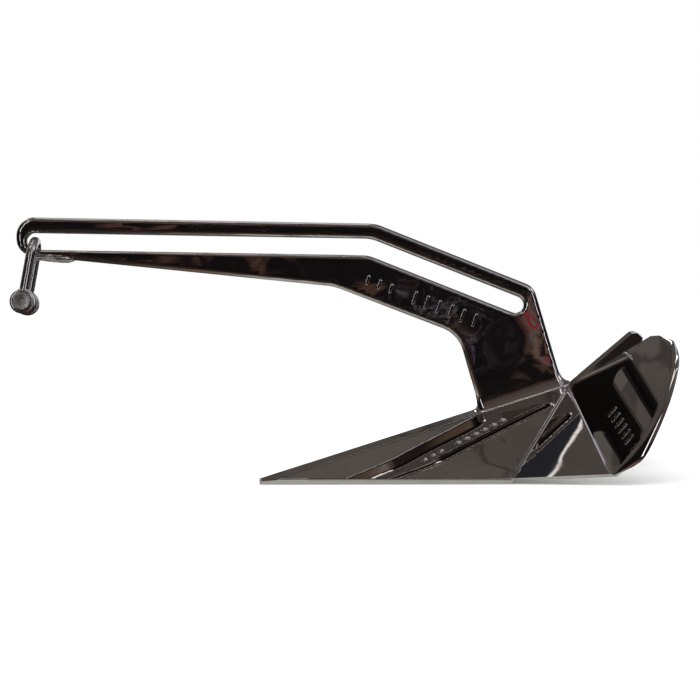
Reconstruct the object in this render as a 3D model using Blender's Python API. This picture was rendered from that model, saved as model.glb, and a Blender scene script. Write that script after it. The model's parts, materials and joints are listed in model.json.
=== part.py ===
"""Plough anchor in polished stainless steel with a slotted shank and a D-shackle in the slot.

Metres, +Z up. The toe points to -X and the wings to +X, port is -Y and starboard is +Y.
The origin is on the flat underside of the sole plate, TOE_X behind the toe.
"""
import math

import bmesh
import bpy
from mathutils import Matrix, Vector

# Driving dimensions of the fluke
GAP = 0.0003
BLADE_TOP_INSET = (0.0, 0.0006, -0.00048)
SEARCH_STEP = 0.0001
TOE_X = -0.130
TOE_RADIUS = 0.0055
TOE_BLOCK_LENGTH = 0.040
SOLE_THICKNESS = 0.0046
SOLE_END_X = 0.0674
SOLE_END_HALF_WIDTH = 0.0761
BLADE_THICKNESS = 0.0035
RIDGE_TOE_Z = 0.0048
RIDGE_SLOPE = 0.2809
RIDGE_END_X = 0.1162
BAND_HALF_WIDTH = 0.0100
BAND_SLOPE = 0.445
REAR_TRIM_Z = 0.0040
CUT_OVERLAP = 0.010
CUT_HALF_WIDTH = 0.150
CUT_BELOW = 0.020
CUT_END_X = 0.250

# Wing: one blade behind the sole, starboard side. The flat wing lies in the plane through its root,
# its heel and WING_SPREAD. Its outer edge is rolled back. The line where the roll starts is given from
# the heel upwards by x and z in that plane, with the width of the roll there.
WING_ROOT = Vector((0.1197, BAND_HALF_WIDTH, 0.0704))
WING_HEEL = Vector((0.1379, 0.1129, 0.0087))
WING_SPREAD = Vector((0.1805, 0.1100, 0.0710))
WING_ROLL = (
    (0.1394, 0.0089, 0.0020),
    (0.1520, 0.0245, 0.0115),
    (0.1625, 0.0379, 0.0100),
    (0.1778, 0.0628, 0.0067),
    (0.1869, 0.0830, 0.0052),
    (0.1894, 0.0950, 0.0050),
    (0.1899, 0.1045, 0.0030),
)
WING_CROWN = (0.1839, 0.1095)
WING_PEAK = (0.1785, 0.1090)
ROLL_ANGLE = math.radians(60.0)
ROLL_LEAST_RADIUS = 0.0050
ROLL_STEPS = 7
CURVE_STEPS = 3

# Chamber in the nose
BULKHEAD_X = 0.0560
BULKHEAD_THICKNESS = 0.0040
BALLAST_START_X = -0.078
BALLAST_END_X = -0.010
BALLAST_CLEARANCE = 0.0015

# Shank plate
SHANK_THICKNESS = 0.0110
SHANK_EDGE_RADIUS = 0.0035
SHANK_EDGE_STEPS = 5
OUTLINE_SPACING = 0.0022
SHANK_CORNERS = (
    # x, z, corner radius, down the top edge first and back along the underside
    (-0.3158, 0.2214, 0.0150),
    (-0.0293, 0.2052, 0.0300),
    (0.0954, 0.1500, 0.0130),
    (0.1150, None, 0.0),
    (0.0486, None, 0.0),
    (0.0338, 0.1142, 0.0270),
    (-0.0639, 0.1562, 0.0400),
    (-0.3158, 0.1914, 0.0140),
)
SLOT_HALF_WIDTH = 0.0065
SLOT_LINE = (Vector((-0.3008, 0.2013)), Vector((-0.0346, 0.1867)), Vector((0.0801, 0.1362)))
SLOT_BEND_RADIUS = 0.030

# Fillet welds between shank and fluke
FILLET_END_INSET = 0.0005
FILLET_LIFT = 0.0004
FILLET_HEIGHT = 0.0118
FILLET_WIDTH = 0.0060
FILLET_TOE_THICKNESS = 0.0008
FILLET_HOLLOW = 0.28
FILLET_STEPS = 5

# Rough bead under the arm, thinning out over its last stretch
BEAD_START_X = -0.3035
BEAD_END_X = -0.2710
BEAD_SIDE = 0.0011
BEAD_BELOW = 0.0028
BEAD_HEIGHT = 0.0040
BEAD_SHOULDER_HIGH = 0.6
BEAD_SHOULDER_LOW = 0.3
BEAD_TAPER_FROM = 0.7
BEAD_END_SIZE = 0.25
BEAD_STATIONS = 9

# Shackle, built hanging straight down from its crown and then turned to its resting pose
SHACKLE_ROD_RADIUS = 0.0040
SHACKLE_LEG_Y = 0.0140
SHACKLE_LENGTH = 0.0495
LUG_RADIUS = 0.0098
LUG_THICKNESS = 0.0085
PIN_RADIUS = 0.0039
PIN_HOLE_RADIUS = 0.0042
PIN_HEAD_RADIUS = 0.0074
PIN_HEAD_DEPTH = 0.0030
PIN_SOCKET_RADIUS = 0.0032
PIN_SOCKET_DEPTH = 0.0024
PIN_CHAMFER = 0.0005
TOOL_OVERRUN = 0.0020
SHACKLE_SWING = math.radians(12.0)
SHACKLE_ROLL = math.radians(4.0)

# Finish of each kind of surface: colour, roughness, metallic
POLISHED = ((0.50, 0.48, 0.47), 0.06, 1.0)
SATIN = ((0.42, 0.41, 0.40), 0.25, 1.0)
WELD = ((0.55, 0.54, 0.52), 0.35, 1.0)
INNER = ((0.30, 0.30, 0.30), 0.55, 1.0)
IRON = ((0.20, 0.20, 0.22), 0.65, 1.0)


def clear_scene():
    for item in list(bpy.data.objects):
        bpy.data.objects.remove(item, do_unlink=True)


def metal(name, finish):
    """Material of one piece."""
    colour, roughness, metallic = finish
    material = bpy.data.materials.new(name + "_metal")
    material.use_nodes = True
    shader = material.node_tree.nodes["Principled BSDF"]
    shader.inputs["Base Color"].default_value = (*colour, 1.0)
    shader.inputs["Roughness"].default_value = roughness
    shader.inputs["Metallic"].default_value = metallic
    return material


def link_mesh(name, builder, finish):
    """Turn a bmesh into an object in the scene, with its own material."""
    mesh = bpy.data.meshes.new(name)
    builder.to_mesh(mesh)
    builder.free()
    mesh.materials.append(metal(name, finish))
    item = bpy.data.objects.new(name, mesh)
    bpy.context.scene.collection.objects.link(item)
    return item


def add_object(name, builder, finish, smooth_angle=30.0):
    """Make one closed, smooth-shaded object from a filled bmesh."""
    bmesh.ops.recalc_face_normals(builder, faces=builder.faces[:])
    item = link_mesh(name, builder, finish)
    item.data.shade_smooth()
    item.data.set_sharp_from_angle(angle=math.radians(smooth_angle))
    return item


# ---------------------------------------------------------------- fluke surfaces

def ridge_z(x):
    """Height of the ridge line."""
    return RIDGE_TOE_Z + RIDGE_SLOPE * (x - TOE_X)


def band_edge(x, side):
    """Point on the lower edge of the ridge's flat band."""
    return Vector((x, side * BAND_HALF_WIDTH, ridge_z(x) - BAND_SLOPE * BAND_HALF_WIDTH))


def sole_corner(side):
    return Vector((SOLE_END_X, side * SOLE_END_HALF_WIDTH, SOLE_THICKNESS))


def nose_normal(side):
    """Outward normal of the nose's flat side, which holds the band's edge and the sole's corner."""
    along = band_edge(0.1, side) - band_edge(0.0, side)
    down = sole_corner(side) - band_edge(0.0, side)
    normal = along.cross(down).normalized()
    return normal if normal.z > 0 else -normal


def nose_side_z(x, y, inset=0.0):
    """Height of the nose's side plane at x and y, moved inwards by inset."""
    side = 1.0 if y >= 0 else -1.0
    normal = nose_normal(side)
    corner = sole_corner(side) - normal * inset
    return corner.z - (normal.x * (x - corner.x) + normal.y * (y - corner.y)) / normal.z


def roof_z(x, y):
    """Height of the nose's outside: the ridge's band or the flat side, whichever is lower."""
    return min(ridge_z(x) - BAND_SLOPE * abs(y), nose_side_z(x, y))


def nose_half_width(x):
    """Half width of the nose at the sole's top face."""
    normal = nose_normal(1.0)
    corner = sole_corner(1.0)
    return corner.y - normal.x * (x - corner.x) / normal.y


def hull_object(name, points, finish):
    """A closed convex piece round a set of points."""
    builder = bmesh.new()
    for point in points:
        builder.verts.new(point)
    bmesh.ops.convex_hull(builder, input=builder.verts[:])
    loose = [v for v in builder.verts if not v.link_faces]
    bmesh.ops.delete(builder, geom=loose, context="VERTS")
    bmesh.ops.remove_doubles(builder, verts=builder.verts[:], dist=1e-6)
    bmesh.ops.dissolve_limit(
        builder, angle_limit=math.radians(0.5), verts=builder.verts[:], edges=builder.edges[:])
    return add_object(name, builder, finish)


def toe_plan():
    """Outline of the toe block from above, round at the front."""
    slope = (nose_half_width(0.0) - nose_half_width(-0.1)) / 0.1
    centre_x = TOE_X + TOE_RADIUS
    lean = math.atan(slope)
    steps = 6
    points = []
    for step in range(-steps, steps + 1):
        angle = math.pi - (math.pi / 2 - lean) * step / steps
        points.append((centre_x + TOE_RADIUS * math.cos(angle), TOE_RADIUS * math.sin(angle)))
    return points


def make_toe_point():
    """Solid tip, pointed and as thick as the sole plate at the front."""
    end_x = TOE_X + TOE_BLOCK_LENGTH - GAP
    points = []
    for x, y in toe_plan():
        points += [Vector((x, y, 0.0)), Vector((x, y, roof_z(x, y)))]
    half = nose_half_width(end_x)
    meet_x = end_x
    while nose_half_width(meet_x) > BAND_HALF_WIDTH:
        meet_x -= SEARCH_STEP
    for side in (-1.0, 1.0):
        points += [Vector((end_x, side * half, 0.0)), Vector((end_x, side * half, SOLE_THICKNESS))]
        points += [band_edge(end_x, side), band_edge(meet_x, side)]
    points += [Vector((TOE_X, 0.0, ridge_z(TOE_X))), Vector((end_x, 0.0, ridge_z(end_x)))]
    return hull_object("toe_point", points, POLISHED)


def make_sole_plate():
    """Flat underside of the nose, from the toe block to the widest point."""
    start_x = TOE_X + TOE_BLOCK_LENGTH
    points = []
    for z in (0.0, SOLE_THICKNESS):
        for side in (-1.0, 1.0):
            points.append(Vector((start_x, side * nose_half_width(start_x), z)))
            points.append(Vector((SOLE_END_X, side * SOLE_END_HALF_WIDTH, z)))
    return hull_object("sole_plate", points, SATIN)


def make_ridge_spine():
    """Solid bar under the ridge that both blades are welded to."""
    points = []
    for x in (TOE_X + TOE_BLOCK_LENGTH, RIDGE_END_X):
        points.append(Vector((x, 0.0, ridge_z(x))))
        for side in (-1.0, 1.0):
            edge = band_edge(x, side)
            inward = nose_normal(side) * -BLADE_THICKNESS
            foot = edge + Vector((0.0, inward.y, inward.z + RIDGE_SLOPE * -inward.x))
            points += [edge, foot]
    return hull_object("ridge_spine", points, POLISHED)


def wing_normal():
    """Outward normal of the flat wing, starboard side: up, outwards and towards the toe."""
    normal = (WING_HEEL - WING_ROOT).cross(WING_SPREAD - WING_ROOT).normalized()
    return normal if normal.z > 0 else -normal


def wing_point(x, z):
    """Point of the flat wing's plane at x and z, starboard side."""
    normal = wing_normal()
    y = WING_ROOT.y - (normal.x * (x - WING_ROOT.x) + normal.z * (z - WING_ROOT.z)) / normal.y
    return Vector((x, y, z))


def smooth_run(points):
    """Catmull-Rom curve through points."""
    knots = [points[0] * 2 - points[1], *points, points[-1] * 2 - points[-2]]
    curve = [points[0]]
    for p0, p1, p2, p3 in zip(knots, knots[1:], knots[2:], knots[3:]):
        for step in range(1, CURVE_STEPS + 1):
            t = step / CURVE_STEPS
            curve.append(0.5 * (2 * p1 + (p2 - p0) * t + (2 * p0 - 5 * p1 + 4 * p2 - p3) * t ** 2
                                + (3 * p1 - p0 - 3 * p2 + p3) * t ** 3))
    return curve


def wing_roll():
    """Rows of points across the rolled edge, starboard side, from the heel upwards."""
    stations = smooth_run([Vector(station) for station in WING_ROLL])
    starts = [wing_point(x, z) for x, z, _ in stations]
    normal = wing_normal()
    rows = []
    for index, (start, station) in enumerate(zip(starts, stations)):
        run = starts[min(index + 1, len(starts) - 1)] - starts[max(index - 1, 0)]
        outward = normal.cross(run).normalized()
        outward = outward if outward.x > 0 else -outward
        chord = station.z
        half = ROLL_ANGLE / 2
        if chord < 2 * ROLL_LEAST_RADIUS * math.sin(half):
            half = math.asin(chord / 2 / ROLL_LEAST_RADIUS)
        radius = chord / 2 / math.sin(half)
        row = []
        for step in range(ROLL_STEPS + 1):
            angle = 2 * half * step / ROLL_STEPS
            row.append(start + outward * (radius * math.sin(angle))
                       - normal * (radius * (1 - math.cos(angle))))
        rows.append(row)
    return rows


def blade_sheet(side):
    """Outer face of one blade as a bmesh: nose side, corner triangle, wing and rolled edge."""
    mirror = Vector((1.0, side, 1.0))
    start_x = TOE_X + TOE_BLOCK_LENGTH + GAP
    inset = Vector(BLADE_TOP_INSET) * mirror
    builder = bmesh.new()

    def vertex(point):
        return builder.verts.new(point)

    v_top = vertex(band_edge(start_x, side) + inset)
    v_low = vertex((start_x, side * nose_half_width(start_x), SOLE_THICKNESS))
    v_root = vertex(WING_ROOT * mirror + inset)
    v_corner = vertex(sole_corner(side))
    v_heel = vertex(WING_HEEL * mirror)
    v_crown = vertex(wing_point(*WING_CROWN) * mirror)
    v_peak = vertex(wing_point(*WING_PEAK) * mirror)
    rows = [[vertex(point * mirror) for point in row] for row in wing_roll()]
    faces = [
        (v_top, v_low, v_corner, v_root),
        (v_root, v_corner, v_heel),
        (v_root, v_heel, *(row[0] for row in rows), v_crown, v_peak),
    ]
    for step in range(ROLL_STEPS):
        for low, high in zip(rows, rows[1:]):
            faces.append((low[step], low[step + 1], high[step + 1], high[step]))
        faces.append((v_heel, rows[0][step + 1], rows[0][step]))
        faces.append((v_crown, rows[-1][step], rows[-1][step + 1]))
    for corners in faces:
        builder.faces.new(corners if side < 0 else corners[::-1])
    bmesh.ops.triangulate(builder, faces=builder.faces[:])
    return builder


def box_cutter(name, low, high):
    builder = bmesh.new()
    bmesh.ops.create_cube(builder, size=1.0)
    size = Vector(high) - Vector(low)
    centre = (Vector(high) + Vector(low)) / 2
    bmesh.ops.transform(
        builder, matrix=Matrix.Translation(centre) @ Matrix.Diagonal((*size, 1.0)),
        verts=builder.verts[:])
    item = add_object(name, builder, INNER)
    item.hide_render = True
    item.display_type = "WIRE"
    return item


def make_blade(name, side, cutters):
    """One side of the fluke: a folded plate with a rolled outer edge, cut flat at the sole."""
    item = link_mesh(name, blade_sheet(side), POLISHED)
    solid = item.modifiers.new("Solidify", "SOLIDIFY")
    solid.thickness = BLADE_THICKNESS
    solid.offset = -1.0
    solid.use_even_offset = True
    for cutter in cutters:
        trim = item.modifiers.new("Trim", "BOOLEAN")
        trim.operation = "DIFFERENCE"
        trim.solver = "EXACT"
        trim.object = cutter
    return item


def chamber_section(x, inset):
    """Corners of the nose chamber's cross-section at x, with a clearance all round."""
    low = SOLE_THICKNESS + inset
    depth = BLADE_THICKNESS + inset
    half_low = nose_half_width(x)
    while nose_side_z(x, half_low, depth) < low:
        half_low -= SEARCH_STEP
    half_high = BAND_HALF_WIDTH
    high = nose_side_z(x, half_high, depth) - inset
    spine_low = band_edge(x, 1.0).z - BLADE_THICKNESS - RIDGE_SLOPE * BLADE_THICKNESS - inset
    high = min(high, spine_low)
    while nose_side_z(x, half_high, depth) < high:
        half_high -= SEARCH_STEP
    while nose_side_z(x, half_high + SEARCH_STEP, depth) > high:
        half_high += SEARCH_STEP
    return [Vector((x, side * half, z))
            for side in (-1.0, 1.0) for half, z in ((half_low, low), (half_high, high))]


def make_chamber_piece(name, start_x, end_x, inset, finish):
    points = chamber_section(start_x, inset) + chamber_section(end_x, inset)
    return hull_object(name, points, finish)


def skin_rings(builder, rings):
    """Join a row of equal rings into one closed tube with flat ends."""
    for low, high in zip(rings, rings[1:]):
        for index in range(len(low)):
            builder.faces.new((low[index - 1], low[index], high[index], high[index - 1]))
    builder.faces.new(rings[0])
    builder.faces.new(rings[-1][::-1])


# ---------------------------------------------------------------- shank

def rounded_outline(corners):
    """Closed outline through (x, z, radius) corners, each rounded by an arc."""
    outline = []
    count = len(corners)
    for index, (x, z, radius) in enumerate(corners):
        here = Vector((x, z))
        before = (Vector(corners[index - 1][:2]) - here).normalized()
        after = (Vector(corners[(index + 1) % count][:2]) - here).normalized()
        if radius == 0.0:
            outline.append(here)
            continue
        half = before.angle(after) / 2
        centre = here + (before + after).normalized() * (radius / math.sin(half))
        start = here + before * (radius / math.tan(half)) - centre
        sweep = start.angle_signed(here + after * (radius / math.tan(half)) - centre)
        steps = max(3, round(radius * abs(sweep) / OUTLINE_SPACING))
        for step in range(steps + 1):
            turn = Matrix.Rotation(-sweep * step / steps, 2)
            outline.append(centre + turn @ start)
    return outline


def slot_outline():
    """Closed outline of the slot, bent with the shank and with round ends."""
    front, bend, rear = SLOT_LINE
    run_in = (bend - front).normalized()
    run_out = (rear - bend).normalized()
    side_in = Vector((-run_in.y, run_in.x))
    side_out = Vector((-run_out.y, run_out.x))
    mean = (side_in + side_out).normalized()
    reach = SLOT_HALF_WIDTH / mean.dot(side_in)
    outline = []
    arc_steps = 12
    for step in range(arc_steps + 1):
        angle = math.pi * step / arc_steps
        outline.append(front - side_in * (SLOT_HALF_WIDTH * math.cos(angle))
                       - run_in * (SLOT_HALF_WIDTH * math.sin(angle)))
    outline += bend_arc(bend + mean * reach, run_in, run_out, SLOT_BEND_RADIUS)
    for step in range(arc_steps + 1):
        angle = math.pi * step / arc_steps
        outline.append(rear + side_out * (SLOT_HALF_WIDTH * math.cos(angle))
                       + run_out * (SLOT_HALF_WIDTH * math.sin(angle)))
    outline += bend_arc(bend - mean * reach, -run_out, -run_in, SLOT_BEND_RADIUS)
    return outline


def bend_arc(corner, direction_in, direction_out, radius, steps=5):
    """Points of a soft corner between two straight runs."""
    turn = direction_in.angle(direction_out)
    length = radius * math.tan(turn / 2)
    start = corner - direction_in * length
    end = corner + direction_out * length
    return [start.lerp(corner, t).lerp(corner.lerp(end, t), t)
            for t in (step / steps for step in range(steps + 1))]


def offset_outline(outline, distance):
    """Outline moved to its own left by distance, with mitred corners."""
    moved = []
    count = len(outline)
    for index, point in enumerate(outline):
        before = (point - outline[index - 1]).normalized()
        after = (outline[(index + 1) % count] - point).normalized()
        left_before = Vector((-before.y, before.x))
        left_after = Vector((-after.y, after.x))
        mean = (left_before + left_after).normalized()
        moved.append(point + mean * (distance / max(mean.dot(left_before), 0.4)))
    return moved


def signed_area(outline):
    total = 0.0
    for index, point in enumerate(outline):
        total += outline[index - 1].x * point.y - point.x * outline[index - 1].y
    return total / 2


def rounded_plate(outer, hole, thickness, edge_radius, edge_steps):
    """Plate in the XZ plane with one hole and rounded edges, as a bmesh."""
    if signed_area(outer) < 0:
        outer = outer[::-1]
    if signed_area(hole) > 0:
        hole = hole[::-1]
    builder = bmesh.new()
    profile = []
    for step in range(edge_steps + 1):
        angle = math.pi / 2 * step / edge_steps
        inset = edge_radius * (1 - math.sin(angle))
        profile.append((-thickness / 2 + edge_radius * (1 - math.cos(angle)), inset))
    profile += [(-y, inset) for y, inset in reversed(profile)]
    for outline in (outer, hole):
        rings = []
        for y, inset in profile:
            ring = offset_outline(outline, inset) if inset > 0 else outline
            rings.append([builder.verts.new((p.x, y, p.y)) for p in ring])
        for low, high in zip(rings, rings[1:]):
            for index in range(len(low)):
                builder.faces.new((low[index - 1], low[index], high[index], high[index - 1]))
    builder.verts.index_update()
    for cap_y in (-thickness / 2, thickness / 2):
        edges = [e for e in builder.edges if all(abs(v.co.y - cap_y) < 1e-7 for v in e.verts)]
        bmesh.ops.triangle_fill(builder, use_beauty=True, use_dissolve=False, edges=edges)
    return builder


def make_shank_plate():
    """Bent arm cut from plate, with the long slot that the shackle slides in."""
    corners = [(x, ridge_z(x) + GAP if z is None else z, radius) for x, z, radius in SHANK_CORNERS]
    outer = rounded_outline(corners)
    builder = rounded_plate(
        outer, slot_outline(), SHANK_THICKNESS, SHANK_EDGE_RADIUS, SHANK_EDGE_STEPS)
    return add_object("shank_plate", builder, POLISHED, smooth_angle=40.0)


def make_shank_weld(name, side):
    """Hollow-faced fillet weld between one face of the shank and the top of the fluke."""
    start_x = SHANK_CORNERS[4][0] + FILLET_END_INSET
    end_x = SHANK_CORNERS[3][0] - FILLET_END_INSET
    inner_y = SHANK_THICKNESS / 2 + GAP
    builder = bmesh.new()
    rings = []
    for x in (start_x, (start_x + end_x) / 2, end_x):
        ring = [(inner_y, ridge_z(x) - BAND_SLOPE * inner_y + FILLET_LIFT)]
        ring.append((BAND_HALF_WIDTH, band_edge(x, 1.0).z + FILLET_LIFT))
        toe_y = inner_y + FILLET_WIDTH
        toe_z = nose_side_z(x, toe_y) + FILLET_LIFT
        top_z = ridge_z(x) + FILLET_HEIGHT
        ring.append((toe_y, toe_z))
        start = Vector((toe_y, toe_z + FILLET_TOE_THICKNESS))
        end = Vector((inner_y, top_z))
        corner = Vector((inner_y, start.y))
        hollow = corner.lerp(start + end - corner, FILLET_HOLLOW)
        for step in range(FILLET_STEPS + 1):
            share = step / FILLET_STEPS
            ring.append(tuple(start.lerp(hollow, share).lerp(hollow.lerp(end, share), share)))
        rings.append([builder.verts.new((x, side * y, z)) for y, z in ring])
    skin_rings(builder, rings)
    return add_object(name, builder, POLISHED)


def make_slot_end_weld():
    """Rough weld bead wrapped round the underside of the arm, just behind the shackle."""
    inner_y = SHANK_THICKNESS / 2 + GAP
    builder = bmesh.new()
    rings = []
    for station in range(BEAD_STATIONS):
        share = station / (BEAD_STATIONS - 1)
        past = max(0.0, share - BEAD_TAPER_FROM) / (1 - BEAD_TAPER_FROM)
        swell = BEAD_END_SIZE + (1 - BEAD_END_SIZE) * math.sqrt(1 - min(1.0, past ** 2))
        x = BEAD_START_X + (BEAD_END_X - BEAD_START_X) * share
        arm_z = shank_underside_z(x) - GAP
        outer_y = inner_y + BEAD_SIDE * swell
        high = arm_z + BEAD_HEIGHT * swell
        low = arm_z - BEAD_BELOW * swell
        # foot and top on the arm's face, the round of the side, and the round of the underside
        half = [(inner_y, arm_z), (inner_y, high),
                (outer_y, arm_z + BEAD_SHOULDER_HIGH * (high - arm_z)),
                (outer_y, arm_z + BEAD_SHOULDER_LOW * (low - arm_z)), (inner_y - BEAD_SIDE, low)]
        ring = half + [(-y, z) for y, z in reversed(half)]
        rings.append([builder.verts.new((x, y, z)) for y, z in ring])
    skin_rings(builder, rings)
    return add_object("slot_end_weld", builder, WELD)


def shank_underside_z(x):
    """Height of the straight underside of the arm in front of the bend."""
    (x0, z0, _), (x1, z1, _) = SHANK_CORNERS[7], SHANK_CORNERS[6]
    return z0 + (z1 - z0) * (x - x0) / (x1 - x0)


# ---------------------------------------------------------------- shackle

def shackle_matrix():
    """From the hanging frame, crown at the origin and legs down, to the resting pose."""
    centre = SLOT_LINE[0]
    return (Matrix.Translation((centre.x, 0.0, centre.y))
            @ Matrix.Rotation(SHACKLE_SWING, 4, "Y") @ Matrix.Rotation(-SHACKLE_ROLL, 4, "X"))


def cylinder(builder, radius, start_y, end_y, centre_z, segments):
    """Closed cylinder along Y."""
    matrix = (Matrix.Translation((0.0, (start_y + end_y) / 2, centre_z))
              @ Matrix.Rotation(math.pi / 2, 4, "X"))
    bmesh.ops.create_cone(
        builder, cap_ends=True, segments=segments, radius1=radius, radius2=radius,
        depth=abs(end_y - start_y), matrix=matrix)


def bow_path():
    """Centre line of the bow: leg, half-round crown with its top at the origin, leg."""
    steps = 20
    path = [Vector((0.0, -SHACKLE_LEG_Y, -SHACKLE_LENGTH))]
    for step in range(steps + 1):
        angle = math.pi * step / steps
        path.append(Vector((0.0, -SHACKLE_LEG_Y * math.cos(angle),
                            SHACKLE_LEG_Y * (math.sin(angle) - 1))))
    path.append(Vector((0.0, SHACKLE_LEG_Y, -SHACKLE_LENGTH)))
    return path


def sweep_rod(builder, path, radius, segments):
    """Closed round rod along a path that lies in the YZ plane."""
    across = Vector((1.0, 0.0, 0.0))
    rings = []
    for index, point in enumerate(path):
        run = (path[min(index + 1, len(path) - 1)] - path[max(index - 1, 0)]).normalized()
        normal = run.cross(across)
        ring = []
        for step in range(segments):
            angle = 2 * math.pi * step / segments
            offset = across * math.cos(angle) + normal * math.sin(angle)
            ring.append(builder.verts.new(point + offset * radius))
        rings.append(ring)
    skin_rings(builder, rings)


def tool_object(name, build):
    """A hidden solid used to join or to cut."""
    builder = bmesh.new()
    build(builder)
    item = add_object(name, builder, INNER)
    item.hide_render = True
    item.display_type = "WIRE"
    return item


def add_boolean(item, other, operation):
    modifier = item.modifiers.new(operation.title(), "BOOLEAN")
    modifier.operation = operation
    modifier.solver = "EXACT"
    modifier.object = other


def make_shackle_bow(empty):
    """Forged bow: bent rod with a flat round lug on each end, bored for the pin."""
    builder = bmesh.new()
    sweep_rod(builder, bow_path(), SHACKLE_ROD_RADIUS, 20)
    bow = add_object("shackle_bow", builder, POLISHED)
    outer_y = SHACKLE_LEG_Y + LUG_THICKNESS / 2
    inner_y = SHACKLE_LEG_Y - LUG_THICKNESS / 2
    tools = []
    for name, side in (("lug_port", -1.0), ("lug_starboard", 1.0)):
        tools.append(("UNION", tool_object(name, lambda b, side=side: cylinder(
            b, LUG_RADIUS, side * inner_y, side * outer_y, -SHACKLE_LENGTH, 28))))
    tools.append(("DIFFERENCE", tool_object("pin_bore", lambda b: cylinder(
        b, PIN_HOLE_RADIUS, -outer_y - TOOL_OVERRUN, outer_y + TOOL_OVERRUN, -SHACKLE_LENGTH, 24))))
    recess_y = -outer_y + PIN_HEAD_DEPTH + GAP
    tools.append(("DIFFERENCE", tool_object("head_recess", lambda b: cylinder(
        b, PIN_HEAD_RADIUS + GAP, -outer_y - TOOL_OVERRUN, recess_y, -SHACKLE_LENGTH, 28))))
    for operation, tool in tools:
        tool.parent = empty
        add_boolean(bow, tool, operation)
    bow.parent = empty
    return bow


def make_shackle_pin(empty):
    """Screw pin with a flush round head and a hexagon socket, in place in the lugs."""
    outer_y = SHACKLE_LEG_Y + LUG_THICKNESS / 2
    builder = bmesh.new()
    turned = [(0.0, -outer_y), (PIN_HEAD_RADIUS, -outer_y),
              (PIN_HEAD_RADIUS, -outer_y + PIN_HEAD_DEPTH), (PIN_RADIUS, -outer_y + PIN_HEAD_DEPTH),
              (PIN_RADIUS, outer_y - PIN_CHAMFER), (PIN_RADIUS - PIN_CHAMFER, outer_y),
              (0.0, outer_y)]
    verts = [builder.verts.new((radius, y, 0.0)) for radius, y in turned]
    edges = [builder.edges.new(pair) for pair in zip(verts, verts[1:])]
    bmesh.ops.spin(
        builder, geom=verts + edges, axis=(0.0, 1.0, 0.0), cent=(0.0, 0.0, 0.0),
        angle=2 * math.pi, steps=24, use_merge=True)
    bmesh.ops.remove_doubles(builder, verts=builder.verts[:], dist=1e-6)
    pin = add_object("shackle_pin", builder, SATIN)
    socket = tool_object("hex_socket", lambda b: cylinder(
        b, PIN_SOCKET_RADIUS, -outer_y - TOOL_OVERRUN, -outer_y + PIN_SOCKET_DEPTH, 0.0, 6))
    add_boolean(pin, socket, "DIFFERENCE")
    for item in (pin, socket):
        item.parent = empty
        item.location = (0.0, 0.0, -SHACKLE_LENGTH)
    return pin


def main():
    clear_scene()
    make_toe_point()
    make_sole_plate()
    make_ridge_spine()
    sole_cut = box_cutter(
        "sole_cut", (TOE_X - CUT_OVERLAP, -CUT_HALF_WIDTH, -CUT_BELOW),
        (SOLE_END_X + GAP, CUT_HALF_WIDTH, SOLE_THICKNESS + GAP))
    rear_cut = box_cutter(
        "rear_cut", (SOLE_END_X - CUT_OVERLAP, -CUT_HALF_WIDTH, -CUT_BELOW),
        (CUT_END_X, CUT_HALF_WIDTH, REAR_TRIM_Z))
    for name, side in (("port_blade", -1.0), ("starboard_blade", 1.0)):
        make_blade(name, side, (sole_cut, rear_cut))
    make_chamber_piece(
        "nose_bulkhead", BULKHEAD_X, BULKHEAD_X + BULKHEAD_THICKNESS, 2 * GAP, SATIN)
    make_chamber_piece(
        "nose_ballast", BALLAST_START_X, BALLAST_END_X, BALLAST_CLEARANCE, IRON)
    make_shank_plate()
    make_shank_weld("shank_weld_port", -1.0)
    make_shank_weld("shank_weld_starboard", 1.0)
    make_slot_end_weld()
    hinge = bpy.data.objects.new("shackle_hinge", None)
    bpy.context.scene.collection.objects.link(hinge)
    hinge.matrix_world = shackle_matrix()
    make_shackle_bow(hinge)
    make_shackle_pin(hinge)


main()
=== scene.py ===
"""Looks of the polished plough anchor: finished surfaces, metals, studio light and camera.

Metres, in the frame of the CAD model: the toe points to -X, port is -Y, the sole rests on z = 0.
"""
import json
import math

import bmesh
import bpy
from mathutils import Matrix, Vector, noise
from mathutils.bvhtree import BVHTree


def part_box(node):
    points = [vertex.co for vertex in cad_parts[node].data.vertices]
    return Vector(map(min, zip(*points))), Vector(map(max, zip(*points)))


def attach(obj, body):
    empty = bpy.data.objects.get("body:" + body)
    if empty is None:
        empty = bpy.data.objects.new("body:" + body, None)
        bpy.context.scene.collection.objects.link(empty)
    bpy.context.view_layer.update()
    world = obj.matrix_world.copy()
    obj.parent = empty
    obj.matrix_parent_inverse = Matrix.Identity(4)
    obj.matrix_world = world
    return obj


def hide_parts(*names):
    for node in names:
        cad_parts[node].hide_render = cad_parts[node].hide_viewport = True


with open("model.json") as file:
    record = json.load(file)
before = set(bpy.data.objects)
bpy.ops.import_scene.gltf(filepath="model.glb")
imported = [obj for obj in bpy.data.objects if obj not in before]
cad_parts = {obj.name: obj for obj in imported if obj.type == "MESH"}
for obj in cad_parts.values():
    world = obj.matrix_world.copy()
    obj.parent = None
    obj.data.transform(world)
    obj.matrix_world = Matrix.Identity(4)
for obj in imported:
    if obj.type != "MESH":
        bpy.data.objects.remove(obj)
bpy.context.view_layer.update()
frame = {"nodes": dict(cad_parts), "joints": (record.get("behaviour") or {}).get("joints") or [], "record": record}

# Clean copies of the CAD surfaces. Turns are in degrees.
MERGE_DISTANCE = 2e-6
FLAT_TURN = 0.4
END_REACH = 5e-5
SHORTEST_RUN = 1e-3
CUT_REACH = 2e-5
ROUND_TURN = 10.0
SPLIT_TURN = 50.0
GRID_STEP = 0.0050
SHANK_GRID_STEP = 0.0030

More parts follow.
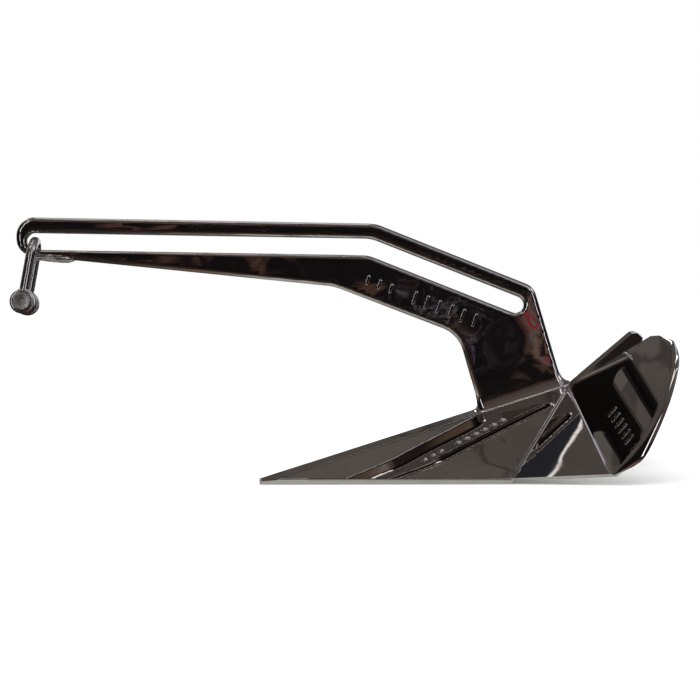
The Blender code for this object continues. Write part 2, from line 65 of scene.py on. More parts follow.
# Fluke
SEAM_X = -0.0900
SEAM_REACH = 0.0008
FOLD_LENGTH = 0.090
FOLD_TURN = (5.0, 40.0)
SHARP_TURN = 10.0
FOLD_HALF_WIDTH = 0.0020
FOLD_CUTS = (0.0005, 0.0010, 0.0015, 0.0020)
FOLD_FADE = 0.06
RIDGE_HEIGHT = 0.00030
FLAT_AREA = 1.0e-4

# Waves that casting and polishing leave in the plates: (wavelength, height)
FLUKE_WAVES = ((0.060, 0.00009), (0.024, 0.00002))
SHANK_WAVES = ((0.070, 0.00016), (0.024, 0.000045))
FLUKE_WAVE_DIRECTION = Vector((-0.3, 0.6, 0.75)).normalized()
# They grow from nothing over these heights above the sole, and distances from the ridge
SOLE_HOLD = (0.005, 0.020)
RIDGE_HOLD = (0.008, 0.020)

# Foot of the shank, for the welds
FOOT_FRONT_X = 0.0486
FOOT_REAR_X = 0.1150
FOOT_LEAN = -0.25
SHANK_HALF = 0.0055
SHANK_EDGE_RADIUS = 0.0035
FILLET_HEIGHT = 0.0105
FILLET_WIDTH = 0.0062
FILLET_STEPS = 8
FILLET_SINK = 0.0006
FOOT_CORNER_STEPS = 6
FOOT_SIDE_STEPS = 12
SURFACE_MARGIN = 0.0004
ABOVE_FLUKE = 0.2

# Rough bead
BEAD_VOXEL = 0.00032
BEAD_SMOOTHING = 4
BEAD_RIDGE = 0.00085
BEAD_GRAIN = 0.00025
BEAD_SINK = 0.00035

# Raised bars on the arm's port face: (middle x, middle z, length, spacing, count)
BAR_SLOPE = math.radians(-22.5)
BAR_GROUPS = (
    (-0.0279, 0.1566, 0.0085, 0.0098, 3),
    (0.0233, 0.1350, 0.0115, 0.0102, 6),
)
BAR_HALF_WIDTH = 0.0016
BAR_HEIGHT = 0.0010
BAR_END_STEPS = 8
# A bar's section: (share of the half width stepped inwards, share of the height)
BAR_SECTION = ((0.0, -0.3), (0.0, 0.2), (0.12, 0.6), (0.32, 0.88), (0.6, 1.0))

# Shackle, in its own frame: crown at the origin, legs down, pin along Y
ROD_RADIUS = 0.0040
LEG_Y = 0.0140
SHACKLE_LENGTH = 0.0495
LUG_RADIUS = 0.0098
LUG_THICKNESS = 0.0085
LUG_ROUND = 0.0016
BORE_RADIUS = 0.0042
HEAD_RADIUS = 0.0074
HEAD_DEPTH = 0.0030
PIN_RADIUS = 0.0039
GAP = 0.0003
SOCKET_RADIUS = 0.0032
SOCKET_DEPTH = 0.0024
THREAD_PITCH = 0.00125
THREAD_DEPTH = 0.0006
THREAD_LENGTH = 0.0085
THREAD_RUNOUT = 0.0008
PIN_RIM = 0.0007
# Dish in the pin's head: (radius, depth)
HEAD_DISH = ((0.0, 0.0004), (0.0045, 0.0003), (0.0056, 0.0))
BEND_STEPS = 36
ROD_SEGMENTS = 32
BORE_SEGMENTS = 48
HEAD_SEGMENTS = 64
LUG_ROUND_STEPS = 6
RIM_STEPS = 4
FORGE_VOXEL = 0.00045
FORGE_SMOOTHING = 24
PIN_SPLIT_TURN = 32.0
BORE_OVERRUN = 0.002
SOCKET_OVERRUN = 0.001

# Camera and floor
CAMERA_PLACE = Vector((-0.0532, -1.658, 0.1640))
CAMERA_PITCH = math.radians(2.04)
CAMERA_ROLL = math.radians(2.2)
CAMERA_LENS = 106.6
FLOOR_HALF = 1.5
# Box of the floor's painted pool of light, which only the polished metal sees: centre and half size
FLOOR_GLOW_CENTRE = (0.03, 0.0, 0.0)
FLOOR_GLOW_HALF = (0.16, 0.10, 1.0)
# What the polished metal sees of the floor: painted light, an emission that stands for a lit floor, with a pale
# painted pool of light round the anchor, warm at its edge, and darker far off and behind
FLOOR_GLOW_PALE = (0.60, 0.61, 0.57, 1.0)
FLOOR_GLOW_WARM = (0.20, 0.135, 0.100, 1.0)
FLOOR_GLOW_DIM = (0.040, 0.032, 0.028, 1.0)
FLOOR_GLOW_FAR = (0.012, 0.010, 0.010, 1.0)
FLOOR_GLOW_BEHIND = (0.020, 0.016, 0.014, 1.0)


# ---------------------------------------------------------------- node helpers

class Graph:
    """Short names for the nodes of one material or world."""

    def __init__(self, tree):
        self.tree = tree

    def node(self, kind, **settings):
        made = self.tree.nodes.new(kind)
        for name, value in settings.items():
            setattr(made, name, value)
        return made

    def put(self, socket, value):
        """Link a socket, or set a constant."""
        if isinstance(value, bpy.types.NodeSocket):
            self.tree.links.new(value, socket)
        else:
            socket.default_value = value

    def math(self, operation, *values):
        made = self.node("ShaderNodeMath", operation=operation)
        for socket, value in zip(made.inputs, values):
            self.put(socket, value)
        return made.outputs[0]

    def vector(self, operation, *values):
        made = self.node("ShaderNodeVectorMath", operation=operation)
        for socket, value in zip(made.inputs, values):
            self.put(socket, value)
        return made.outputs["Value"] if operation in ("DOT_PRODUCT", "LENGTH") else made.outputs[0]

    def scale(self, vector, factor):
        made = self.node("ShaderNodeVectorMath", operation="SCALE")
        self.put(made.inputs[0], vector)
        self.put(made.inputs["Scale"], factor)
        return made.outputs[0]

    def ramp(self, value, low, high, to_low=0.0, to_high=1.0):
        """Map a value smoothly from low..high to to_low..to_high, held at both ends."""
        made = self.node("ShaderNodeMapRange")
        made.interpolation_type = "SMOOTHSTEP"
        for name, item in (("Value", value), ("From Min", low), ("From Max", high),
                           ("To Min", to_low), ("To Max", to_high)):
            self.put(made.inputs[name], item)
        return made.outputs[0]

    def mix(self, factor, first, second):
        made = self.node("ShaderNodeMix", data_type="RGBA")
        self.put(made.inputs[0], factor)
        self.put(made.inputs[6], first)
        self.put(made.inputs[7], second)
        return made.outputs[2]

    def noise(self, vector, scale, detail=3.0, roughness=0.5, distortion=0.0):
        made = self.node("ShaderNodeTexNoise")
        self.put(made.inputs["Vector"], vector)
        for name, item in (("Scale", scale), ("Detail", detail), ("Roughness", roughness),
                           ("Distortion", distortion)):
            self.put(made.inputs[name], item)
        return made.outputs[0]

    def stretched(self, vector, factors):
        """Coordinates scaled by a factor along each axis."""
        return self.vector("MULTIPLY", vector, factors)


def new_material(name):
    """A material with a Principled shader and its object coordinates in metres."""
    material = bpy.data.materials.new(name)
    material.use_nodes = True
    graph = Graph(material.node_tree)
    shader = material.node_tree.nodes["Principled BSDF"]
    place = graph.node("ShaderNodeTexCoord").outputs["Object"]
    return material, graph, shader, place


def add_bump(graph, shader, height, strength, distance):
    bump = graph.node("ShaderNodeBump")
    bump.inputs["Strength"].default_value = strength
    bump.inputs["Distance"].default_value = distance
    graph.put(bump.inputs["Height"], height)
    graph.put(shader.inputs["Normal"], bump.outputs[0])


# ---------------------------------------------------------------- metals

def polished_steel(name, grain_axes, roughness=(0.002, 0.012)):
    """Mirror-polished stainless steel with hazy patches, fine wheel marks and a few pits."""
    material, graph, shader, place = new_material(name)
    shader.inputs["Metallic"].default_value = 1.0
    haze = graph.noise(place, 16.0, detail=4.0, roughness=0.6)
    tint = graph.mix(
        graph.ramp(haze, 0.35, 0.70), (0.57, 0.545, 0.53, 1.0), (0.49, 0.47, 0.46, 1.0))
    graph.put(shader.inputs["Base Color"], tint)
    wheel = graph.noise(graph.stretched(place, grain_axes), 1.0, detail=5.0, roughness=0.65)
    smear = graph.noise(place, 45.0, detail=5.0, roughness=0.7)
    worn = graph.math("MULTIPLY", graph.ramp(smear, 0.45, 0.80), graph.ramp(haze, 0.40, 0.65))
    rough = graph.math("ADD", graph.ramp(wheel, 0.3, 0.7, roughness[0], roughness[1]),
                       graph.math("MULTIPLY", worn, 0.035))
    graph.put(shader.inputs["Roughness"], rough)
    pits = graph.ramp(graph.noise(place, 900.0, detail=2.0), 0.70, 0.80)
    height = graph.math("SUBTRACT", graph.math("MULTIPLY", wheel, 0.6),
                        graph.math("MULTIPLY", pits, graph.ramp(smear, 0.5, 0.75)))
    add_bump(graph, shader, height, 0.03, 0.00003)
    return material


def satin_steel(name):
    """Brushed stainless steel, with the brush marks along the anchor."""
    material, graph, shader, place = new_material(name)
    shader.inputs["Metallic"].default_value = 1.0
    brush = graph.noise(
        graph.stretched(place, (25.0, 1400.0, 1400.0)), 1.0, detail=4.0, roughness=0.7)
    cloud = graph.noise(place, 24.0, detail=4.0)
    graph.put(shader.inputs["Base Color"], graph.mix(
        graph.ramp(cloud, 0.3, 0.7), (0.56, 0.55, 0.53, 1.0), (0.42, 0.41, 0.39, 1.0)))
    graph.put(shader.inputs["Roughness"], graph.ramp(brush, 0.25, 0.75, 0.20, 0.36))
    add_bump(graph, shader, brush, 0.04, 0.00003)
    return material


def raw_weld(name):
    """Unpolished weld: bright and grainy, with straw-coloured heat tints."""
    material, graph, shader, place = new_material(name)
    shader.inputs["Metallic"].default_value = 0.82
    grain = graph.noise(
        graph.stretched(place, (90.0, 620.0, 620.0)), 1.0, detail=4.0, roughness=0.6)
    tint = graph.noise(place, 160.0, detail=2.0)
    base = graph.mix(
        graph.ramp(grain, 0.42, 0.60), (0.07, 0.065, 0.06, 1.0), (0.97, 0.94, 0.91, 1.0))
    warm = graph.mix(graph.ramp(tint, 0.52, 0.72, 0.0, 0.30), base, (0.62, 0.46, 0.30, 1.0))
    graph.put(shader.inputs["Base Color"], warm)
    graph.put(shader.inputs["Roughness"], graph.ramp(grain, 0.3, 0.7, 0.55, 0.30))
    add_bump(graph, shader, grain, 0.8, 0.0003)
    return material


def cast_iron(name):
    """Dark sand-cast iron with a grainy skin and a little rust."""
    material, graph, shader, place = new_material(name)
    shader.inputs["Metallic"].default_value = 0.85
    sand = graph.noise(place, 1100.0, detail=4.0, roughness=0.7)
    rust = graph.noise(place, 70.0, detail=5.0, roughness=0.65)
    graph.put(shader.inputs["Base Color"], graph.mix(
        graph.ramp(rust, 0.55, 0.75), (0.11, 0.11, 0.115, 1.0), (0.20, 0.085, 0.045, 1.0)))
    graph.put(shader.inputs["Roughness"], graph.ramp(rust, 0.4, 0.75, 0.55, 0.85))
    add_bump(graph, shader, sand, 0.5, 0.0004)
    return material


# ---------------------------------------------------------------- mesh helpers

def cad_mesh(node):
    """The CAD node's surface as a clean bmesh: shared corners, and one face for each flat."""
    builder = bmesh.new()
    builder.from_mesh(frame["nodes"][node].data)
    bmesh.ops.remove_doubles(builder, verts=builder.verts[:], dist=MERGE_DISTANCE)
    bmesh.ops.dissolve_limit(
        builder, angle_limit=math.radians(FLAT_TURN),
        verts=builder.verts[:], edges=builder.edges[:])
    return builder


def slide_to(builder, axis, start, end):
    """Lengthen a piece: corners at start move to end along the edges that they lie on."""
    moves = []
    for vert in builder.verts:
        if abs(vert.co[axis] - start) > END_REACH:
            continue
        far = max((e.other_vert(vert) for e in vert.link_edges),
                  key=lambda other: abs(other.co[axis] - vert.co[axis]))
        span = far.co[axis] - vert.co[axis]
        if abs(span) > SHORTEST_RUN:
            share = (end - vert.co[axis]) / span
            moves.append((vert, vert.co + (far.co - vert.co) * share))
    for vert, place in moves:
        vert.co = place


def on_seam(edge):
    """True for an edge that lies in the joint between the toe and the blades."""
    return all(abs(v.co.x - SEAM_X) < SEAM_REACH for v in edge.verts)


def round_edges(builder, width):
    """Round each edge that turns more than ROUND_TURN, apart from those on the seam."""
    edges = [edge for edge in builder.edges
             if len(edge.link_faces) == 2 and not on_seam(edge)
             and math.degrees(edge.calc_face_angle(0.0)) > ROUND_TURN]
    bmesh.ops.bevel(
        builder, geom=edges, offset=width, offset_type="OFFSET", segments=3,
        profile=0.5, affect="EDGES", clamp_overlap=True)


def flats(builder, least):
    """Faces larger than least, with their edges and corners."""
    faces = [face for face in builder.faces if face.calc_area() > least]
    edges = {edge for face in faces for edge in face.edges}
    verts = {vert for face in faces for vert in face.verts}
    return list(verts) + list(edges) + faces


def cut(builder, geometry, place, normal):
    """Cut geometry along a plane. Gives the geometry back with the new parts in it."""
    return bmesh.ops.bisect_plane(
        builder, geom=geometry, dist=CUT_REACH, plane_co=place, plane_no=normal)["geom"]


def grid_cut(builder, step, axes=(0, 2), least=0.0):
    """Cut the faces along a regular grid, so that they can carry gentle waves."""
    geometry = flats(builder, least)
    for axis in axes:
        values = [v.co[axis] for v in builder.verts]
        normal = Vector((0.0, 0.0, 0.0))
        normal[axis] = 1.0
        first = math.ceil(min(values) / step)
        last = math.floor(max(values) / step)
        for index in range(first, last + 1):
            geometry = cut(builder, geometry, normal * (index * step), normal)


def wave_height(place, waves):
    """Height of the waves at a place."""
    return sum(noise.noise(place / length) * height for length, height in waves)


def ease(value, low, high):
    """Smooth step from 0 at low to 1 at high."""
    t = min(1.0, max(0.0, (value - low) / (high - low)))
    return t * t * (3 - 2 * t)


def make_object(name, builder):
    """An object from a bmesh, smooth apart from edges that turn more than SPLIT_TURN."""
    bmesh.ops.recalc_face_normals(builder, faces=builder.faces[:])
    for edge in builder.edges:
        edge.smooth = math.degrees(edge.calc_face_angle(0.0)) < SPLIT_TURN
    mesh = bpy.data.meshes.new(name)
    builder.to_mesh(mesh)
    builder.free()
    mesh.shade_smooth()
    item = bpy.data.objects.new(name, mesh)
    bpy.context.scene.collection.objects.link(item)
    return item


def weigh_normals(item):
    """Keep large flats flat in the shading, next to their rounded edges."""
    modifier = item.modifiers.new("Normals", "WEIGHTED_NORMAL")
    modifier.mode = "FACE_AREA_WITH_ANGLE"
    modifier.weight = 50
    modifier.keep_sharp = True


def place_piece(item, material, body, slot, *nodes):
    """Give a piece its material and its body, and the CAD nodes that it replaces. The slot is not used."""
    item.data.materials.clear()
    item.data.materials.append(material)
    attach(item, body)
    if nodes:
        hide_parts(*nodes)


# ---------------------------------------------------------------- fluke

def wave_fluke(builder, side):
    """Gentle waves, held back at the sole and across the ridge."""
    direction = FLUKE_WAVE_DIRECTION * Vector((1.0, side, 1.0))
    rear = max(vert.co.x for vert in builder.verts)
    for vert in builder.verts:
        hold = ease(vert.co.z, *SOLE_HOLD) * ease(abs(vert.co.y), *RIDGE_HOLD)
        vert.co += direction * (wave_height(vert.co, FLUKE_WAVES) * hold)
        vert.co.x = min(vert.co.x, rear)


def find_folds(builder):
    """The long folds of the outer face: (start, end, outward, turn)."""
    folds = []
    for edge in builder.edges:
        if len(edge.link_faces) != 2 or edge.calc_length() < FOLD_LENGTH:
            continue
        turn = edge.calc_face_angle(0.0)
        outward = (edge.link_faces[0].normal + edge.link_faces[1].normal).normalized()
        if FOLD_TURN[0] < math.degrees(turn) < FOLD_TURN[1] and outward.z > 0.0:
            folds.append((edge.verts[0].co.copy(), edge.verts[1].co.copy(), outward, turn))
    return folds


def cut_folds(builder, folds):
    """Cut the flats beside each fold into narrow strips along it."""
    for start, end, outward, _ in folds:
        across = (end - start).cross(outward).normalized()
        geometry = flats(builder, FLAT_AREA)
        for reach in FOLD_CUTS:
            for side in (-1.0, 1.0):
                geometry = cut(builder, geometry, start + across * (side * reach), across)


def shape_folds(builder, folds):
    """Round a sharp fold, and leave a low polished ridge along a slight one."""
    builder.normal_update()
    for vert in builder.verts:
        for start, end, outward, turn in folds:
            along = end - start
            share = (vert.co - start).dot(along) / along.length_squared
            if vert.normal.dot(outward) < 0.5 or not 0.0 <= share <= 1.0:
                continue
            away = (vert.co - start.lerp(end, share)).length
            if away >= FOLD_HALF_WIDTH:
                continue
            near = away / FOLD_HALF_WIDTH
            if math.degrees(turn) > SHARP_TURN:
                lift = -math.tan(turn / 2) * FOLD_HALF_WIDTH / 2 * (1 - near) ** 2
            else:
                lift = RIDGE_HEIGHT * (1 - near * near) ** 2
            vert.co += outward * (lift * ease(min(share, 1.0 - share), 0.0, FOLD_FADE))
            break


def make_blade(name, side, material):
    """One blade, run on to the toe's seam, with shaped folds and gentle waves."""
    builder = cad_mesh(name)
    slide_to(builder, 0, min(v.co.x for v in builder.verts), SEAM_X)
    builder.normal_update()
    folds = find_folds(builder)
    cut_folds(builder, folds)
    grid_cut(builder, GRID_STEP, least=FLAT_AREA / 4)
    shape_folds(builder, folds)
    wave_fluke(builder, side)
    item = make_object(name + "_skin", builder)
    weigh_normals(item)
    place_piece(item, material, "anchor", "polished_steel", name)


def make_solid_copy(node, material, slot, width, end=None):
    """A CAD solid with rounded edges, and its rear end at x = end if that is given."""
    builder = cad_mesh(node)
    if end is not None:
        slide_to(builder, 0, max(v.co.x for v in builder.verts), end)
    round_edges(builder, width)
    grid_cut(builder, GRID_STEP, axes=(0,))
    item = make_object(node + "_skin", builder)
    weigh_normals(item)
    place_piece(item, material, "anchor", slot, node)


# ---------------------------------------------------------------- shank

def make_shank(material):
    """The arm with gentle waves in both faces, all of them inwards."""
    builder = cad_mesh("shank_plate")
    grid_cut(builder, SHANK_GRID_STEP)
    deepest = sum(height for _, height in SHANK_WAVES)
    for vert in builder.verts:
        side = 1.0 if vert.co.y > 0 else -1.0
        face = ease(abs(vert.co.y), SHANK_HALF - SHANK_EDGE_RADIUS, SHANK_HALF)
        vert.co.y -= side * face * (deepest + wave_height(vert.co, SHANK_WAVES))
    item = make_object("shank_plate_skin", builder)
    weigh_normals(item)
    place_piece(item, material, "anchor", "polished_steel", "shank_plate")


def make_bars(material):
    """Plain raised bars with round ends, in two rows along the arm."""
    builder = bmesh.new()
    along = Vector((math.cos(BAR_SLOPE), 0.0, math.sin(BAR_SLOPE)))
    up = Vector((-along.z, 0.0, along.x))
    for x, z, length, spacing, count in BAR_GROUPS:
        for index in range(count):
            reach = spacing * (index - (count - 1) / 2)
            centre = Vector((x, -SHANK_HALF, z)) + along * reach
            add_bar(builder, centre, along, up, length)
    item = make_object("arm_bars", builder)
    place_piece(item, material, "anchor", "polished_steel")


def add_bar(builder, centre, along, up, length):
    """One bar: a round-ended outline, stepped inwards to a rounded top."""
    out = Vector((0.0, -1.0, 0.0))
    rings = []
    for inset, height in BAR_SECTION:
        radius = BAR_HALF_WIDTH * (1 - inset)
        ring = []
        for end in (1.0, -1.0):
            for step in range(BAR_END_STEPS + 1):
                angle = math.pi * step / BAR_END_STEPS - (math.pi if end < 0 else 0.0)
                offset = along * (radius * math.cos(angle)) + up * (radius * math.sin(angle))
                middle = up * (end * (length / 2 - BAR_HALF_WIDTH))
                lift = out * (height * BAR_HEIGHT)
                ring.append(builder.verts.new(centre + middle + offset + lift))
        rings.append(ring)
    skin(builder, rings)


def skin(builder, rings):
    """Join equal rings, with flat ends."""
    for low, high in zip(rings, rings[1:]):
        for index in range(len(low)):
            after = (index + 1) % len(low)
            builder.faces.new((low[index], low[after], high[after], high[index]))
    builder.faces.new(rings[0][::-1])
    builder.faces.new(rings[-1])


def fluke_tree():
    """The fluke's outer surface, for setting welds on it."""
    builder = bmesh.new()
    for node in ("ridge_spine", "port_blade", "starboard_blade"):
        builder.from_mesh(frame["nodes"][node].data)
    tree = BVHTree.FromBMesh(builder)
    builder.free()
    return tree


def surface_z(tree, x, y):
    """Height of the fluke at x and y. Past the end of the ridge, its last height holds."""
    held_x = min(x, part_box("ridge_spine")[1].x - SURFACE_MARGIN)
    return tree.ray_cast(Vector((held_x, y, ABOVE_FLUKE)), Vector((0.0, 0.0, -1.0)))[0].z


def foot_outline(side):
    """Half outline of the shank's foot, rear centre to front centre: (point, outward)."""
    points = [(Vector((FOOT_REAR_X, 0.0)), Vector((1.0, 0.0)))]
    for centre_x, start in ((FOOT_REAR_X - SHANK_EDGE_RADIUS, 0.0),
                            (FOOT_FRONT_X + SHANK_EDGE_RADIUS, math.pi / 2)):
        centre = Vector((centre_x, SHANK_HALF - SHANK_EDGE_RADIUS))
        for step in range(FOOT_CORNER_STEPS + 1):
            angle = start + math.pi / 2 * step / FOOT_CORNER_STEPS
            outward = Vector((math.cos(angle), math.sin(angle)))
            points.append((centre + outward * SHANK_EDGE_RADIUS, outward))
        if start == 0.0:
            straight = FOOT_REAR_X - FOOT_FRONT_X - 2 * SHANK_EDGE_RADIUS
            for step in range(1, FOOT_SIDE_STEPS):
                x = FOOT_REAR_X - SHANK_EDGE_RADIUS - straight * step / FOOT_SIDE_STEPS
                points.append((Vector((x, SHANK_HALF)), Vector((0.0, 1.0))))
    points.append((Vector((FOOT_FRONT_X, 0.0)), Vector((-1.0, 0.0))))
    mirror = Vector((1.0, side))
    return [(point * mirror, outward * mirror) for point, outward in points]


def make_fillet(name, side, tree, material):
    """Hollow weld fillet round one half of the shank's foot."""
    builder = bmesh.new()
    rings = []
    for point, outward in foot_outline(side):
        beads = 1.0 + 0.10 * noise.noise(Vector((point.x * 260.0, point.y * 260.0, side)))
        base_z = surface_z(tree, point.x, point.y)
        toe = point + outward * (FILLET_WIDTH * beads)
        toe_z = surface_z(tree, toe.x, toe.y)
        top_z = base_z + FILLET_HEIGHT * beads
        ring = []
        for step in range(FILLET_STEPS + 1):
            angle = math.pi / 2 * step / FILLET_STEPS
            share_out = 1.0 - math.sin(angle)
            share_up = 1.0 - math.cos(angle)
            plan = point + outward * (FILLET_WIDTH * beads * share_out)
            z = toe_z + (top_z - toe_z) * share_up
            lean = FOOT_LEAN * max(0.0, z - base_z)
            ring.append(Vector((plan.x + lean * (1.0 - share_out), plan.y, z)))
        inner_top = ring[-1] - Vector((*outward, 0.0)) * FILLET_SINK
        root = Vector((point.x - outward.x * FILLET_SINK, point.y - outward.y * FILLET_SINK,
                       base_z - FILLET_SINK))
        under = Vector((toe.x, toe.y, toe_z - FILLET_SINK))
        ring += [inner_top, root, under]
        rings.append([builder.verts.new(place) for place in ring])
    skin(builder, rings)
    item = make_object(name + "_skin", builder)
    place_piece(item, material, "anchor", "polished_steel", name)


def make_end_weld(material):
    """Rough bead with ridges along it, under the tip of the arm."""
    source = bpy.data.objects.new("bead_source", frame["nodes"]["slot_end_weld"].data.copy())
    bpy.context.scene.collection.objects.link(source)
    remesh = source.modifiers.new("Remesh", "REMESH")
    remesh.mode = "VOXEL"
    remesh.voxel_size = BEAD_VOXEL
    smooth = source.modifiers.new("Smooth", "SMOOTH")
    smooth.iterations = BEAD_SMOOTHING
    evaluated = source.evaluated_get(bpy.context.evaluated_depsgraph_get())
    builder = bmesh.new()
    builder.from_mesh(evaluated.to_mesh())
    bpy.data.objects.remove(source)
    builder.normal_update()
    for vert in builder.verts:
        place = vert.co
        ridges = noise.noise(Vector((place.x * 110.0, place.y * 700.0, place.z * 700.0)))
        grain = noise.noise(place * 1800.0)
        vert.co = place + vert.normal * (ridges * BEAD_RIDGE + grain * BEAD_GRAIN - BEAD_SINK)
    item = make_object("slot_end_weld_skin", builder)
    place_piece(item, material, "anchor", "raw_weld", "slot_end_weld")


# ---------------------------------------------------------------- shackle

def shackle_frame():
    """Matrix from the shackle's own frame to its place at rest, from its joint and mount."""
    joint = next(j for j in frame["joints"] if j["name"] == "shackle_swing")
    mount = next(m for m in frame["record"]["mounts"] if m["name"] == "chain_pin")
    crown = Vector(joint["pos_m"])
    across = Vector(joint["axis"]).normalized()
    up = crown - Vector(mount["pos_m"])
    up = (up - across * up.dot(across)).normalized()
    forward = across.cross(up)
    turn = Matrix((forward, across, up)).transposed().to_4x4()
    return Matrix.Translation(crown) @ turn


def turned(name, profile, segments):
    """Closed body turned round Y, from (radius, y) points that start and end on the axis."""
    builder = bmesh.new()
    verts = [builder.verts.new((radius, y, 0.0)) for radius, y in profile]
    edges = [builder.edges.new(pair) for pair in zip(verts, verts[1:])]
    bmesh.ops.spin(
        builder, geom=verts + edges, axis=(0.0, 1.0, 0.0), cent=(0.0, 0.0, 0.0),
        angle=2 * math.pi, steps=segments, use_merge=True)
    bmesh.ops.remove_doubles(builder, verts=builder.verts[:], dist=1e-6)
    return make_object(name, builder)


def bow_rod():
    """Round rod bent to a D."""
    builder = bmesh.new()
    path = [Vector((0.0, -LEG_Y, -SHACKLE_LENGTH * share)) for share in (1.0, 0.75, 0.5)]
    for step in range(BEND_STEPS + 1):
        angle = math.pi * step / BEND_STEPS
        path.append(Vector((0.0, -LEG_Y * math.cos(angle), LEG_Y * (math.sin(angle) - 1))))
    path += [Vector((0.0, LEG_Y, -SHACKLE_LENGTH * share)) for share in (0.5, 0.75, 1.0)]
    rings = []
    for index, point in enumerate(path):
        run = (path[min(index + 1, len(path) - 1)] - path[max(index - 1, 0)]).normalized()
        normal = run.cross(Vector((1.0, 0.0, 0.0)))
        ring = []
        for step in range(ROD_SEGMENTS):
            angle = 2 * math.pi * step / ROD_SEGMENTS
            offset = Vector((math.cos(angle), 0.0, 0.0)) + normal * math.sin(angle)
            ring.append(builder.verts.new(point + offset * ROD_RADIUS))
        rings.append(ring)
    skin(builder, rings)
    return make_object("bow_rod", builder)


def lug_profile(inner, outer):
    """Half section of a lug with rounded rims."""
    profile = [(0.0, inner)]
    for step in range(LUG_ROUND_STEPS + 1):
        angle = math.pi / 2 * step / LUG_ROUND_STEPS
        profile.append((LUG_RADIUS - LUG_ROUND * (1 - math.sin(angle)),
                        inner + LUG_ROUND * (1 - math.cos(angle))))
    for step in range(LUG_ROUND_STEPS + 1):
        angle = math.pi / 2 * step / LUG_ROUND_STEPS
        profile.append((LUG_RADIUS - LUG_ROUND * (1 - math.cos(angle)),
                        outer - LUG_ROUND * (1 - math.sin(angle))))
    profile.append((0.0, outer))
    return profile


def combine(item, operation, others):
    """Join or cut with the EXACT solver and keep the result only."""
    for other in others:
        modifier = item.modifiers.new(operation, "BOOLEAN")
        modifier.operation = operation
        modifier.solver = "EXACT"
        modifier.object = other
    evaluated = item.evaluated_get(bpy.context.evaluated_depsgraph_get())
    mesh = bpy.data.meshes.new_from_object(evaluated)
    item.modifiers.clear()
    item.data = mesh
    for other in others:
        bpy.data.objects.remove(other)


def make_bow(place, material):
    """Forged bow: rod and lugs melted into one skin, then bored."""
    outer = LEG_Y + LUG_THICKNESS / 2
    inner = LEG_Y - LUG_THICKNESS / 2
    bow = bow_rod()
    lugs = []
    for low, high in ((-outer, -inner), (inner, outer)):
        lug = turned("lug", lug_profile(low, high), BORE_SEGMENTS)
        lug.location.z = -SHACKLE_LENGTH
        lugs.append(lug)
    combine(bow, "UNION", lugs)
    remesh = bow.modifiers.new("Forge", "REMESH")
    remesh.mode = "VOXEL"
    remesh.voxel_size = FORGE_VOXEL
    smooth = bow.modifiers.new("Smooth", "SMOOTH")
    smooth.iterations = FORGE_SMOOTHING
    start = -outer - BORE_OVERRUN
    end = outer + BORE_OVERRUN
    bore = turned("bore", [(0.0, start), (BORE_RADIUS, start), (BORE_RADIUS, end), (0.0, end)],
                  BORE_SEGMENTS)
    recess_end = -outer + HEAD_DEPTH + GAP
    recess = turned("recess", [(0.0, start), (HEAD_RADIUS + GAP, start),
                               (HEAD_RADIUS + GAP, recess_end), (0.0, recess_end)], HEAD_SEGMENTS)
    for tool in (bore, recess):
        tool.location.z = -SHACKLE_LENGTH
    combine(bow, "DIFFERENCE", [bore, recess])
    bow.name = "shackle_bow_skin"
    bow.data.transform(place)
    bow.data.shade_smooth()
    bow.data.set_sharp_from_angle(angle=math.radians(SPLIT_TURN))
    place_piece(bow, material, "shackle", "shackle_steel", "shackle_bow")


def pin_profile():
    """Half section of the pin: dished head, shoulder, shaft and thread."""
    outer = LEG_Y + LUG_THICKNESS / 2
    profile = [(radius, -outer + depth) for radius, depth in HEAD_DISH]
    for step in range(RIM_STEPS + 1):
        angle = math.pi / 2 * step / RIM_STEPS
        profile.append((HEAD_RADIUS - PIN_RIM * (1 - math.sin(angle)),
                        -outer + PIN_RIM * (1 - math.cos(angle))))
    profile += [(HEAD_RADIUS, -outer + HEAD_DEPTH), (PIN_RADIUS, -outer + HEAD_DEPTH)]
    thread_start = outer - THREAD_LENGTH
    profile.append((PIN_RADIUS, thread_start))
    turns = int((THREAD_LENGTH - THREAD_RUNOUT) / THREAD_PITCH)
    for index in range(turns):
        y = thread_start + THREAD_PITCH * index
        profile.append((PIN_RADIUS - THREAD_DEPTH, y + THREAD_PITCH * 0.45))
        profile.append((PIN_RADIUS - THREAD_DEPTH, y + THREAD_PITCH * 0.55))
        profile.append((PIN_RADIUS, y + THREAD_PITCH * 0.95))
        profile.append((PIN_RADIUS, y + THREAD_PITCH))
    profile += [(PIN_RADIUS - THREAD_DEPTH, outer), (0.0, outer)]
    return profile


def make_pin(place, material):
    """The pin, with a hexagon socket in its head."""
    pin = turned("shackle_pin_skin", pin_profile(), HEAD_SEGMENTS)
    outer = LEG_Y + LUG_THICKNESS / 2
    builder = bmesh.new()
    depth = SOCKET_DEPTH + SOCKET_OVERRUN
    matrix = (Matrix.Translation((0.0, -outer - SOCKET_OVERRUN + depth / 2, 0.0))
              @ Matrix.Rotation(math.pi / 2, 4, "X"))
    bmesh.ops.create_cone(
        builder, cap_ends=True, segments=6, radius1=SOCKET_RADIUS, radius2=SOCKET_RADIUS,
        depth=depth, matrix=matrix)
    socket = make_object("socket", builder)
    combine(pin, "DIFFERENCE", [socket])
    pin.data.transform(place @ Matrix.Translation((0.0, 0.0, -SHACKLE_LENGTH)))
    pin.data.shade_smooth()
    pin.data.set_sharp_from_angle(angle=math.radians(PIN_SPLIT_TURN))
    place_piece(pin, material, "pin", "shackle_steel", "shackle_pin")


# ---------------------------------------------------------------- studio

